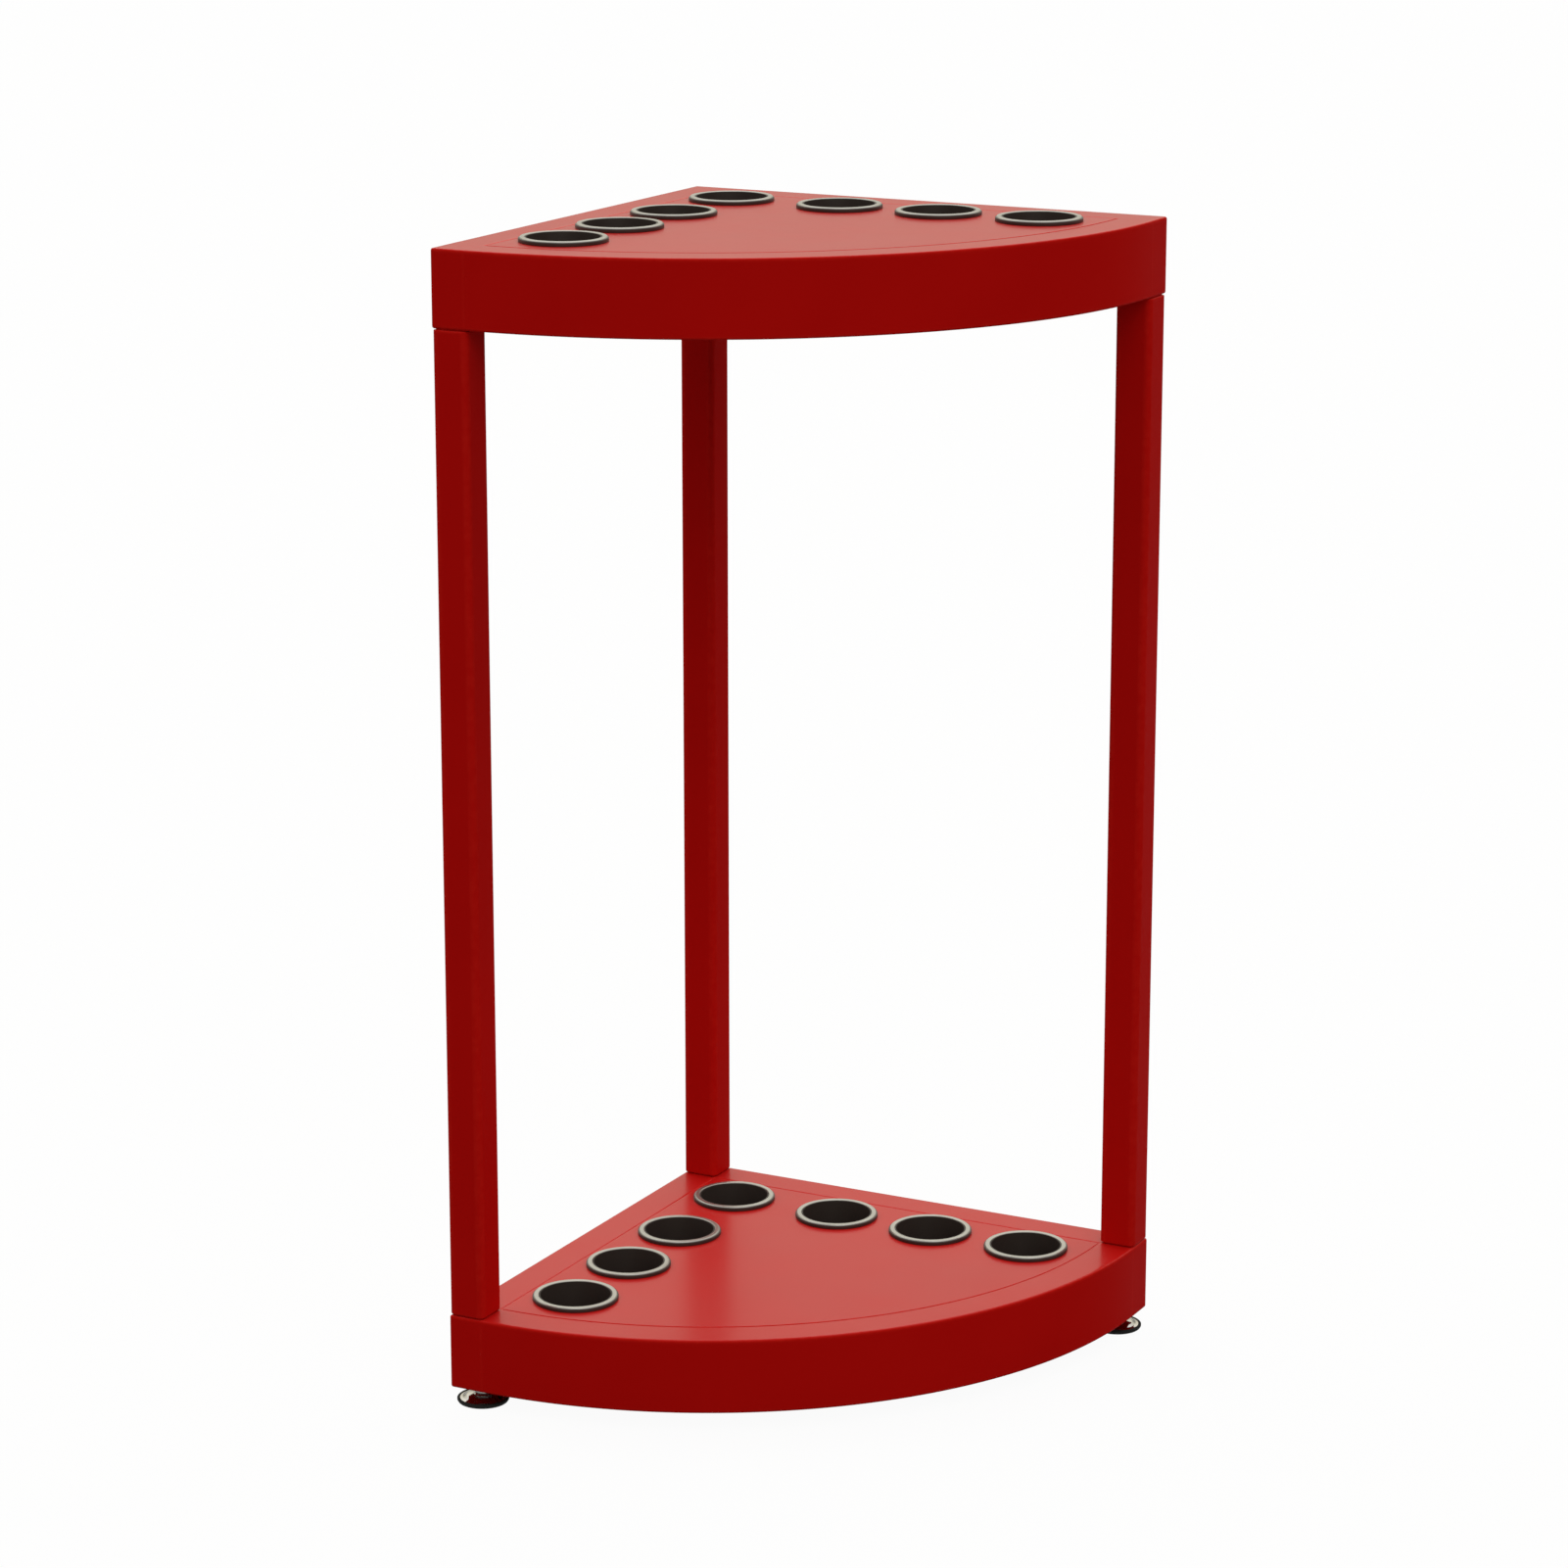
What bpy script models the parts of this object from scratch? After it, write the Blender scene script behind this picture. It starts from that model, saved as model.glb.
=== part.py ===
"""Quarter-round corner stand that keeps long sticks, such as cues, upright.

Two quarter-round decks stand one above the other on three posts. Each deck is a ring of rectangular
tube with a sheet panel set in flush, carried on ledges. Lined holes pass through the upper deck, each
above a lined cup in the lower deck. Three screw feet level the stand.

Metres, +Z up. The floor is z = 0, under the middle of the stand. The two wall faces run along X (back)
and Y (side) and meet at the corner with the lowest X and the highest Y.
"""
import math

import bmesh
import bpy

# Overall sizes
SIDE = 0.415                # wall corner to the outer end, the same along both walls
POST_LENGTH = 0.777         # clear height between the decks

# Deck frame, rectangular tube
FRAME_HEIGHT = 0.060
FRAME_WIDTH = 0.030
FRAME_WALL = 0.002
FRAME_CORNER = 0.0025       # outside corner radius of the tube
FRAME_EASE = 0.001          # eased edge round a capped tube end
VENT = 0.008                # weld vent under each post in the upper frame

# Posts, square tube
POST_SIDE = 0.030
POST_WALL = 0.002
POST_CORNER = 0.0045
POST_EASE = 0.0014          # eased edge round each post end, which leaves a seam against the deck

# Panel and the bars that carry it
PANEL_THICKNESS = 0.002
PANEL_SEAM = 0.001
LEDGE_WIDTH = 0.006
LEDGE_HEIGHT = 0.012

# Lined holes
ARM_HOLES = 3               # holes along each wall, besides the one in the corner
BORE = 0.056
LINER_WALL = 0.002
LINER_NECK = 0.0007         # thin lip of the liner inside the trim ring
LINER_CLEAR = 0.012         # liner and cup ends, up from the frame's lower edge
CUP_FLOOR = 0.003
FLANGE_LIP = 0.004          # how far the liner's flange reaches past its tube
FLANGE_THICKNESS = 0.0017
RING_THICKNESS = 0.0021
RING_SET = 0.0004           # the trim ring's outer edge, in from the flange's
RING_EASE = 0.001
HOLE_EDGE = 0.005           # flange to the wall-side tubes
HOLE_END = 0.014            # flange to the far end of the panel, along the wall
CORNER_EXTRA = 0.010        # extra room round the corner hole

# Screw feet
STUD = 0.008
STUD_LENGTH = 0.038         # above the hexagon
STUD_EASE = 0.001
HEX_FLATS = 0.013
HEX_HEIGHT = 0.0045
NUT_FLATS = 0.014
NUT_HEIGHT = 0.008
PIN = 0.006                 # stud's lower end, which turns in the base
PIN_LENGTH = 0.003
FOOT_INSET = 0.0185         # foot axis, in from the frame's outer faces
BASE = 0.041
BASE_HEIGHT = 0.0055
BASE_RIM = 0.0016
BASE_EASE = 0.0006
BASE_BOSS = 0.014
BASE_SHOULDER = 0.026       # where the base's top turns down towards its rim
BASE_DROP = 0.0014          # fall from the boss to that shoulder
PAD = 0.039
PAD_THICKNESS = 0.0028
PAD_PROUD = 0.0018          # pad below the base's rim
FOOT_ROOM = 0.0019          # hexagon to frame, so that a foot can be screwed in a little

# Clearances and smoothness
GAP = 0.0003                # between pieces that touch or are welded
FIT = 0.0005                # round a piece that drops into a hole
INNER_CORNER = 0.0004       # inside corner radius of the frame tube
CORNER_STEPS = 2
ARC_STEPS = 18
SOCKET_STEPS = 22
FOOT_STEPS = 24
THREAD_STEPS = 12
SMOOTH_ANGLE = math.radians(32)

# Worked out from the sizes above
QUARTER = math.pi / 2
FRAME_BOTTOM = PAD_PROUD + BASE_HEIGHT + GAP + HEX_HEIGHT + FOOT_ROOM
LOWER_TOP = FRAME_BOTTOM + FRAME_HEIGHT
UPPER_TOP = LOWER_TOP + POST_LENGTH + FRAME_HEIGHT
LINER_RADIUS = BORE / 2 + LINER_WALL
LINER_DEPTH = FRAME_HEIGHT - LINER_CLEAR
FLANGE_RADIUS = LINER_RADIUS + FLANGE_LIP
FLANGE_TOP = GAP + FLANGE_THICKNESS
RING_TOP = FLANGE_TOP + GAP + RING_THICKNESS
HOLE_INSET = FRAME_WIDTH + HOLE_EDGE + FLANGE_RADIUS
HOLE_LAST = SIDE - FRAME_WIDTH - HOLE_END - FLANGE_RADIUS
HOLE_PITCH = (HOLE_LAST - HOLE_INSET - CORNER_EXTRA) / ARM_HOLES
PANEL_RADIUS = SIDE - 2 * FRAME_WIDTH - PANEL_SEAM
LEDGE_OUTER = SIDE - 2 * FRAME_WIDTH - GAP
LEDGE_INNER = LEDGE_OUTER - LEDGE_WIDTH
LEDGE_MIDDLE = -PANEL_THICKNESS - GAP - LEDGE_HEIGHT / 2
ARC_FLAT = math.cos(QUARTER / ARC_STEPS / 2)    # how near the middle of an arc's step lies to its centre


def clear_scene():
    for item in list(bpy.data.objects):
        bpy.data.objects.remove(item, do_unlink=True)


def finish(name, colour, roughness, metallic):
    """Plain Principled material."""
    material = bpy.data.materials.new(name)
    material.use_nodes = True
    shader = material.node_tree.nodes["Principled BSDF"]
    shader.inputs["Base Color"].default_value = (*colour, 1.0)
    shader.inputs["Roughness"].default_value = roughness
    shader.inputs["Metallic"].default_value = metallic
    return material


def rectangle(width, height):
    """Sharp-cornered outline about the origin, as (across, up) points."""
    return [(side * width / 2, level * height / 2) for side, level in ((1, 1), (-1, 1), (-1, -1), (1, -1))]


def rounded(width, height, radius):
    """Outline of a tube about the origin, as (across, up) points."""
    points = []
    for turn, (across, up) in enumerate(rectangle(width - 2 * radius, height - 2 * radius)):
        for step in range(CORNER_STEPS + 1):
            angle = (turn + step / CORNER_STEPS) * QUARTER
            points.append((across + radius * math.cos(angle), up + radius * math.sin(angle)))
    return points


def circle(radius, z, steps):
    angles = [2 * math.pi * i / steps for i in range(steps)]
    return [(radius * math.cos(a), radius * math.sin(a), z) for a in angles]


def hexagon(flats, z, steps):
    """Hexagon with as many points as a circle, so that the two can be joined."""
    points = []
    for i in range(steps):
        angle = 2 * math.pi * i / steps
        off_flat = (angle + math.pi / 6) % (math.pi / 3) - math.pi / 6
        radius = flats / 2 / math.cos(off_flat)
        points.append((radius * math.cos(angle), radius * math.sin(angle), z))
    return points


def join_rings(bm, rings, wrap):
    """Faces between one ring of points and the next, and end faces or a last stretch back to the first."""
    loops = [[bm.verts.new(point) for point in ring] for ring in rings]
    pairs = list(zip(loops, loops[1:]))
    if wrap:
        pairs.append((loops[-1], loops[0]))
    else:
        bm.faces.new(loops[0])
        bm.faces.new(loops[-1])
    for first, second in pairs:
        for i in range(len(first)):
            j = (i + 1) % len(first)
            bm.faces.new((first[i], first[j], second[j], second[i]))


def skin(name, chains, wrap=False):
    """Mesh of one or more closed bodies, each over a chain of rings."""
    mesh = bpy.data.meshes.new(name)
    bm = bmesh.new()
    for rings in chains:
        join_rings(bm, rings, wrap)
    bmesh.ops.recalc_face_normals(bm, faces=bm.faces)
    bm.to_mesh(mesh)
    bm.free()
    mesh.shade_smooth()
    mesh.set_sharp_from_angle(angle=SMOOTH_ANGLE)
    return mesh


def turned(name, profile, steps, wrap=False):
    """Body of revolution about Z from (radius, height) points."""
    return skin(name, [[circle(radius, z, steps) for radius, z in profile]], wrap)


def bar(name, stations):
    """Bar along X through (distance, outline) stations, capped at both ends."""
    return skin(name, [[[(x, across, up) for across, up in outline] for x, outline in stations]])


def on_front(radius, angle, centre=FRAME_WIDTH):
    """Point on a circle that follows the curved front, at an angle round from the back wall."""
    return centre + radius * math.cos(angle), -centre - radius * math.sin(angle)


def front_angles(margin):
    """Angles along the curved front, which stops short of each straight tube by a margin."""
    return [margin + (QUARTER - 2 * margin) * step / ARC_STEPS for step in range(ARC_STEPS + 1)]


def add(name, mesh, material, parent, location=(0, 0, 0), turn=0.0):
    item = bpy.data.objects.new(name, mesh)
    bpy.context.collection.objects.link(item)
    item.parent = parent
    item.location = location
    item.rotation_euler.z = turn
    if material and not mesh.materials:
        mesh.materials.append(material)
    return item


def empty(name, location, parent=None):
    return add(name, None, None, parent, location)


def cut(target, mesh):
    """Take a cutter, placed like its target, away from the target."""
    cutter = add(mesh.name, mesh, None, target.parent, target.location, target.rotation_euler.z)
    cutter.hide_render = True
    cutter.display_type = "WIRE"
    modifier = target.modifiers.new(mesh.name, "BOOLEAN")
    modifier.operation = "DIFFERENCE"
    modifier.object = cutter


def drill(target, places, radius, low, high):
    """Upright round holes through a piece, at places in its own frame."""
    chains = []
    for x, y in places:
        rings = [circle(radius, z, SOCKET_STEPS) for z in (low, high)]
        chains.append([[(x + dx, y + dy, z) for dx, dy, z in ring] for ring in rings])
    cut(target, skin(target.name + "_holes", chains))


def corner_places(inset):
    """Axes in a deck's three corners, from the wall corner, each in from both outer faces."""
    far = SIDE - inset
    return {"back": (inset, -inset), "left": (inset, -far), "right": (far, -inset)}


def hole_places():
    """Hole axes from the wall corner, from the side wall's outer end round to the back wall's."""
    along = [HOLE_INSET + CORNER_EXTRA + HOLE_PITCH * (i + 1) for i in range(ARM_HOLES)]
    side = [(HOLE_INSET, -distance) for distance in reversed(along)]
    back = [(distance, -HOLE_INSET) for distance in along]
    return side + [(HOLE_INSET, -HOLE_INSET)] + back


def straight_rail(name, length, butts, paint, deck, location, turn):
    """Length of frame tube along X, capped at its ends, but open where its start butts on another tube."""
    full = rounded(FRAME_WIDTH, FRAME_HEIGHT, FRAME_CORNER)
    eased = rounded(FRAME_WIDTH - 2 * FRAME_EASE, FRAME_HEIGHT - 2 * FRAME_EASE, FRAME_CORNER)
    start = [(0, full)] if butts else [(0, eased), (FRAME_EASE, full)]
    end = [(length - FRAME_EASE, full), (length, eased)]
    rail = add(name, bar(name, start + end), paint, deck, location, turn)
    bore = rounded(FRAME_WIDTH - 2 * FRAME_WALL, FRAME_HEIGHT - 2 * FRAME_WALL, INNER_CORNER)
    bore_start = -FRAME_WALL if butts else FRAME_WALL
    cut(rail, bar(name + "_bore", [(bore_start, bore), (length - FRAME_WALL, bore)]))
    return rail


def curved_rail(name, paint, deck):
    """Rolled quarter ring of frame tube, open at both ends, which butt on the straight tubes."""
    centre = FRAME_WIDTH + GAP
    middle = SIDE - centre - FRAME_WIDTH / 2
    outer = rounded(FRAME_WIDTH, FRAME_HEIGHT, FRAME_CORNER)
    inner = rounded(FRAME_WIDTH - 2 * FRAME_WALL, FRAME_HEIGHT - 2 * FRAME_WALL, INNER_CORNER)
    angles = front_angles(0)
    rings = []
    for outline, order in ((outer, angles), (inner, reversed(angles))):
        for angle in order:
            rings.append([
                (*on_front(middle + across, angle, centre), up - FRAME_HEIGHT / 2)
                for across, up in outline
            ])
    add(name, skin(name, [rings], wrap=True), paint, deck)


def panel(name, paint, deck):
    """Sheet that fills the frame, flush with its top, with a hole for each liner."""
    corner = FRAME_WIDTH + PANEL_SEAM
    front = [on_front(PANEL_RADIUS, angle) for angle in front_angles(math.asin(PANEL_SEAM / PANEL_RADIUS))]
    outline = [(corner, -corner)] + front
    sheet = skin(name, [[[(x, y, z) for x, y in outline] for z in (-PANEL_THICKNESS, 0)]])
    item = add(name, sheet, paint, deck)
    drill(item, hole_places(), LINER_RADIUS + FIT, -2 * PANEL_THICKNESS, PANEL_THICKNESS)


def ledges(level, paint, deck):
    """Flat bars on edge inside the frame, which carry the panel."""
    flat = rectangle(LEDGE_WIDTH, LEDGE_HEIGHT)
    inset = FRAME_WIDTH + GAP + LEDGE_WIDTH / 2
    reach = FRAME_WIDTH + math.sqrt((LEDGE_INNER * ARC_FLAT - GAP) ** 2 - (LEDGE_WIDTH + GAP) ** 2)
    back_start = FRAME_WIDTH + GAP
    side_start = back_start + LEDGE_WIDTH + GAP
    for name, start, location, turn in (
        (f"{level}_back_ledge", back_start, (back_start, -inset, LEDGE_MIDDLE), 0.0),
        (f"{level}_side_ledge", side_start, (inset, -side_start, LEDGE_MIDDLE), -QUARTER),
    ):
        add(name, bar(name, [(0, flat), (reach - start, flat)]), paint, deck, location, turn)
    name = f"{level}_front_ledge"
    middle = (LEDGE_INNER + LEDGE_OUTER) / 2
    rings = [
        [(*on_front(middle + across, angle), up + LEDGE_MIDDLE) for across, up in flat]
        for angle in front_angles(math.asin(GAP / LEDGE_INNER))
    ]
    add(name, skin(name, [rings]), paint, deck)


def deck(level, top, hole, inset, paint, stand):
    """Frame, ledges and panel of one deck, hung from an empty at its wall corner and top face.

    A hole goes through the bottom of the frame in each corner, in from the outer faces.
    """
    place = empty(f"{level}_deck", (-SIDE / 2, SIDE / 2, top), stand)
    middle = -FRAME_HEIGHT / 2
    butt = FRAME_WIDTH + GAP
    offset = FRAME_WIDTH / 2 - inset
    far = SIDE - inset
    back = straight_rail(f"{level}_back_rail", SIDE, False, paint, place, (0, -FRAME_WIDTH / 2, middle), 0.0)
    drill(back, [(inset, offset), (far, offset)], hole / 2, -FRAME_HEIGHT, 0)
    side = straight_rail(f"{level}_side_rail", SIDE - butt, True, paint, place,
                         (FRAME_WIDTH / 2, -butt, middle), -QUARTER)
    drill(side, [(far - butt, -offset)], hole / 2, -FRAME_HEIGHT, 0)
    curved_rail(f"{level}_front_rail", paint, place)
    ledges(level, paint, place)
    panel(f"{level}_panel", paint, place)
    return place


def liner_profile():
    """Lip, flange and outer wall shared by liners and cups, from the bore's top edge down."""
    neck = BORE / 2 + LINER_NECK
    return [
        (BORE / 2, RING_TOP - GAP),
        (neck, RING_TOP - GAP),
        (neck, FLANGE_TOP),
        (FLANGE_RADIUS, FLANGE_TOP),
        (FLANGE_RADIUS, GAP),
        (LINER_RADIUS, GAP),
        (LINER_RADIUS, -LINER_DEPTH),
    ]


def liner_mesh():
    """Sleeve open at both ends."""
    return turned("liner", liner_profile() + [(BORE / 2, -LINER_DEPTH)], SOCKET_STEPS, wrap=True)


def cup_mesh():
    """Sleeve closed by a floor."""
    return turned("cup", [(BORE / 2, CUP_FLOOR - LINER_DEPTH)] + liner_profile(), SOCKET_STEPS)


def ring_mesh():
    """Trim ring that lies on the flange, round the liner's lip."""
    inner = BORE / 2 + LINER_NECK + GAP
    outer = FLANGE_RADIUS - RING_SET
    low = FLANGE_TOP + GAP
    profile = [(inner, low), (outer, low), (outer - RING_EASE, RING_TOP), (inner, RING_TOP)]
    return turned("ring", profile, SOCKET_STEPS, wrap=True)


def sockets(liner_name, liner, ring_name, ring, plastic, metal, deck):
    """A liner or a cup, with its trim ring, in each hole of a deck."""
    for number, (x, y) in enumerate(hole_places(), 1):
        add(f"{liner_name}_{number}", liner, plastic, deck, (x, y, 0))
        add(f"{ring_name}_{number}", ring, metal, deck, (x, y, 0))


def posts(paint, stand):
    outer = rounded(POST_SIDE, POST_SIDE, POST_CORNER)
    eased = rounded(POST_SIDE - 2 * POST_EASE, POST_SIDE - 2 * POST_EASE, POST_CORNER - POST_EASE)
    bore = rounded(POST_SIDE - 2 * POST_WALL, POST_SIDE - 2 * POST_WALL, POST_CORNER - POST_WALL)
    top = POST_LENGTH - 2 * GAP
    stations = [(0, eased), (POST_EASE, outer), (top - POST_EASE, outer), (top, eased), (top, bore), (0, bore)]
    mesh = skin("post", [[[(x, y, z) for x, y in outline] for z, outline in stations]], wrap=True)
    for name, (x, y) in corner_places(POST_SIDE / 2).items():
        add(f"{name}_post", mesh, paint, stand, (x - SIDE / 2, y + SIDE / 2, LOWER_TOP + GAP))


def foot_meshes():
    """Nut in the frame, stud with its hexagon, base and pad, all about the foot's axis."""
    base_top = PAD_PROUD + BASE_HEIGHT
    pin_low = base_top - PIN_LENGTH
    hex_low = base_top + GAP
    hex_high = hex_low + HEX_HEIGHT
    stud_top = hex_high + STUD_LENGTH
    nut_low = FRAME_BOTTOM + FRAME_WALL + GAP
    nut_high = nut_low + NUT_HEIGHT
    thread = STUD / 2 + GAP
    nut = skin("nut", [[
        circle(thread, nut_low, THREAD_STEPS),
        hexagon(NUT_FLATS, nut_low, THREAD_STEPS),
        hexagon(NUT_FLATS, nut_high, THREAD_STEPS),
        circle(thread, nut_high, THREAD_STEPS),
    ]], wrap=True)
    stud = skin("stud", [[
        circle(PIN / 2, pin_low, THREAD_STEPS),
        circle(PIN / 2, hex_low, THREAD_STEPS),
        hexagon(HEX_FLATS, hex_low, THREAD_STEPS),
        hexagon(HEX_FLATS, hex_high, THREAD_STEPS),
        circle(STUD / 2, hex_high, THREAD_STEPS),
        circle(STUD / 2, stud_top - STUD_EASE, THREAD_STEPS),
        circle(STUD / 2 - STUD_EASE, stud_top, THREAD_STEPS),
    ]])
    base = turned("base", [
        (PIN / 2 + GAP, pin_low - GAP),
        (PIN / 2 + GAP, base_top),
        (BASE_BOSS / 2, base_top),
        (BASE_SHOULDER / 2, base_top - BASE_DROP),
        (BASE / 2 - BASE_EASE, PAD_PROUD + BASE_RIM),
        (BASE / 2, PAD_PROUD + BASE_RIM - BASE_EASE),
        (BASE / 2, PAD_PROUD),
        (PAD / 2 + GAP, PAD_PROUD),
        (PAD / 2 + GAP, PAD_THICKNESS + GAP),
    ], FOOT_STEPS)
    pad = turned("pad", [(PAD / 2, 0), (PAD / 2, PAD_THICKNESS)], FOOT_STEPS)
    return {"nut": nut, "stud": stud, "base": base, "pad": pad}


def feet(finishes, stand):
    meshes = foot_meshes()
    for name, (x, y) in corner_places(FOOT_INSET).items():
        foot = empty(f"{name}_foot", (x - SIDE / 2, y + SIDE / 2, 0), stand)
        for piece, mesh in meshes.items():
            add(f"{name}_foot_{piece}", mesh, finishes[piece], foot)


def main():
    clear_scene()
    paint = finish("red_paint", (0.30, 0.006, 0.006), 0.35, 0.0)
    plastic = finish("black_plastic", (0.012, 0.011, 0.011), 0.5, 0.0)
    satin = finish("satin_metal", (0.55, 0.54, 0.52), 0.35, 1.0)
    steel = finish("zinc_steel", (0.50, 0.50, 0.48), 0.4, 1.0)
    chrome = finish("bright_plate", (0.70, 0.69, 0.66), 0.15, 1.0)
    rubber = finish("black_rubber", (0.015, 0.015, 0.015), 0.8, 0.0)

    stand = empty("stand", (0, 0, 0))
    upper = deck("upper", UPPER_TOP, VENT, POST_SIDE / 2, paint, stand)
    lower = deck("lower", LOWER_TOP, STUD + 2 * FIT, FOOT_INSET, paint, stand)
    ring = ring_mesh()
    sockets("upper_liner", liner_mesh(), "upper_ring", ring, plastic, satin, upper)
    sockets("lower_cup", cup_mesh(), "lower_ring", ring, plastic, satin, lower)
    posts(paint, stand)
    feet({"nut": steel, "stud": steel, "base": chrome, "pad": rubber}, stand)


main()
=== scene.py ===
"""Looks of the quarter-round corner stand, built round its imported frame.

The painted tubes, sheets and uprights, the black sleeves and cups, the satin trim rings and the screw
feet are made here in finer detail than the frame's own solids, each in the place of the solid it stands
for. Metres, +Z up; the wall corner has the lowest X and the highest Y.
"""

import math

import bmesh
import bpy
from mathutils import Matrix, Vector


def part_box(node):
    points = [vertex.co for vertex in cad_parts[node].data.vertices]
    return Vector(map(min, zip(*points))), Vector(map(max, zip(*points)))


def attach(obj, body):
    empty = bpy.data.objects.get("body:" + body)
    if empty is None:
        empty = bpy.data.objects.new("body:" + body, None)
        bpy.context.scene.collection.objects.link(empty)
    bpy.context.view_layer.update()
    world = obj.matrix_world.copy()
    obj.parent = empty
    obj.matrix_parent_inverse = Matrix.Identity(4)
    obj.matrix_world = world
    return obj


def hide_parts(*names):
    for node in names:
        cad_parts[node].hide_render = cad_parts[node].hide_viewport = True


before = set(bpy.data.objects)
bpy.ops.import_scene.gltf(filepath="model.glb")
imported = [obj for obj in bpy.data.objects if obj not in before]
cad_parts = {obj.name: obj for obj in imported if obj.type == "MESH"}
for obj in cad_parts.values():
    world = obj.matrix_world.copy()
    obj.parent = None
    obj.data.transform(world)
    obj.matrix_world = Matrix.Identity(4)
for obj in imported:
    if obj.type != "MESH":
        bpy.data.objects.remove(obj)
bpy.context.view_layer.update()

# Camera, as the stand is seen in the photograph
VIEW_ROUND = math.radians(27.29)
VIEW_UP = math.radians(14.26)
VIEW_DISTANCE = 3.756
VIEW_AIM = (-0.0415, 0.0415, 0.4655)
VIEW_LENS = 108.97
VIEW_SENSOR = 36.0

# Studio light: its colour from the horizon up to straight above
SKY_STOPS = (
    (0.0, (0.25, 0.24, 0.21)),
    (0.12, (0.33, 0.315, 0.26)),
    (0.34, (1.01, 0.96, 0.79)),
    (0.70, (1.56, 1.54, 1.49)),
    (0.88, (1.54, 1.53, 1.50)),
    (1.0, (1.38, 1.37, 1.36)),
)
BEHIND_END, FRONT_START = -0.3, 0.45    # the light falls off between these, from behind to in front
FRONT_LEVEL = 0.32
MIDDLE_LEVEL = 1.12             # between left and right
RIGHT_LOSS = 0.06               # more of it lost on the right than on the left
SIDE_LOSS = 0.60                # lost on both sides

# Soft main light, round to the right from the camera and up
KEY_ROUND = math.radians(17)
KEY_UP = math.radians(38)
KEY_RIM, KEY_HEART = 0.80, 0.98         # cosines of the angles at which it starts and is full
KEY_LEVEL = 0.85

# Floor
FLOOR_RADIUS = 200.0
FLOOR_STEPS = 64
FLOOR_DIM = 0.20                # grey of the floor as it lights the stand
FLOOR_PALE = 0.80               # grey of the floor as it is seen, which takes the shadow
FLOOR_WHITE = 0.95              # share of even white over that

# Tube, bar and sheet details that the frame's boxes don't give
TUBE_CORNER = 0.0019            # outside corner radius of the deck tubes
TUBE_INNER_CORNER = 0.0005
TUBE_WALL = 0.002
CAP_EASE = 0.0018               # rounded edge of a capped tube end
BUTT_EASE = 0.00005             # edge of a tube end that butts on another tube
WELD = 0.00175                  # such an end is sunk this far in the other's rounded edge, dressed flush
UPRIGHT_CORNER = 0.0045
UPRIGHT_EASE = 0.0009           # rounded edge round each end of an upright
NECK_HEIGHT = 0.0009            # narrower end of an upright, which leaves a dark seam against the deck
NECK_INSET = 0.0018
BAR_EASE = 0.0006
SHEET_EASE = 0.0005
PANEL_SEAM = 0.0004             # the sheet is sprung in tight, so that its seam is only a fine line
SEAM_DEPTH = 0.0004             # seam round the sheet, filled with paint nearly to the top
SEAM_OUT = 0.0022               # the paint in it reaches out under the tube's rounded edge
SEAM_IN = 0.0006                # and in under the sheet's
SEAM_PAINT = 0.001
FADE = 0.0015                   # strip of flat beside every rounded edge
FADE_SHARE = 0.4                # most of a narrow flat that such a strip takes
LEAST_CORNER = 1 / 8            # smallest corner of a section that is drawn in, as a share of its own
SEAT = 0.00002                  # clearance of pieces that lie on each other

# Sleeves, cups and trim rings
BORE_RADIUS = 0.028
LINER_RADIUS = 0.030
LINER_DRAFT = 0.0004            # the mouldings narrow by this towards their lower end
LINER_EDGE = 0.0008
FLANGE_REACH = 0.0035           # out from the edge of the hole
FLANGE_TOP = 0.0028
FLANGE_EDGE = 0.0005
LIP_WALL = 0.0007
FINE_EDGE = 0.0003              # the sharpest moulded edges
CUP_FLOOR = 0.003
CUP_FILLET = 0.0015
CUP_CENTRE = 0.0008             # small flat in the middle of a cup's floor
CUP_RIBS = (0.006, 0.013, 0.020)
RIB = 0.0008                    # height of a rib, and half its width
RIB_FOOT = 0.0002
RIB_CREST = 0.0004
RING_DROP = 0.0006              # the ring's crown, down from the top of the frame's ring
RING_INSET = 0.0003             # the ring, in from the edge of the frame's ring
RING_CLEAR = 0.0003             # between ring and lip
RING_RIM = 0.0003               # height of the ring's rim, from which its side leans in
RING_RIM_LEAN = 0.0001
RING_LEAN = 0.0007
RING_FOOT_EDGE = 0.00015
RING_RIM_EDGE = 0.0003
CROWN_OUTER_EDGE = 0.0005
CROWN_INNER_EDGE = 0.0006

# Feet: a dish in a rubber sole that comes up round it, and a screw with a hexagon
SOLE_LIP = 0.0021               # width of the rubber round the dish
LIP_RISE = 0.0016               # its height over the underside of the frame's base
LIP_BEVEL = 0.0007              # slope on the lip's outside: its width and its height
LIP_BEVEL_HEIGHT = 0.0006
LIP_BEVEL_EDGE = 0.0005
LIP_EDGE = 0.0004
SOLE_CENTRE = 0.0006            # small flat in the middle of the sole
SOLE_SEAT_EDGE = 0.00015        # where the dish's seat meets the lip
SOLE_BEVEL = 0.0010             # slope round the foot of the sole: its width and its height
SOLE_BEVEL_HEIGHT = 0.0014
SOLE_BEVEL_EDGE = 0.0010
TREAD_EDGE = 0.0004
SOLE_GROOVES = (0.005, 0.010, 0.015)
GROOVE_DEPTH = 0.0006
GROOVE_WIDTH = 0.0015
GROOVE_SLOPE = 0.0003
GROOVE_EDGE = 0.0001
DISH_BORE = 0.0033
DISH_BORE_EDGE = 0.0002
DISH_SUNK = 0.0001              # the dish's hollow curve ends this far under the top of the lip
DISH_EDGE = 0.0003              # rounding of the dish's edge, and its depth under the top of the lip
BOSS_RADIUS = 0.0066
BOSS_FLARE = 0.0010
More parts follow.
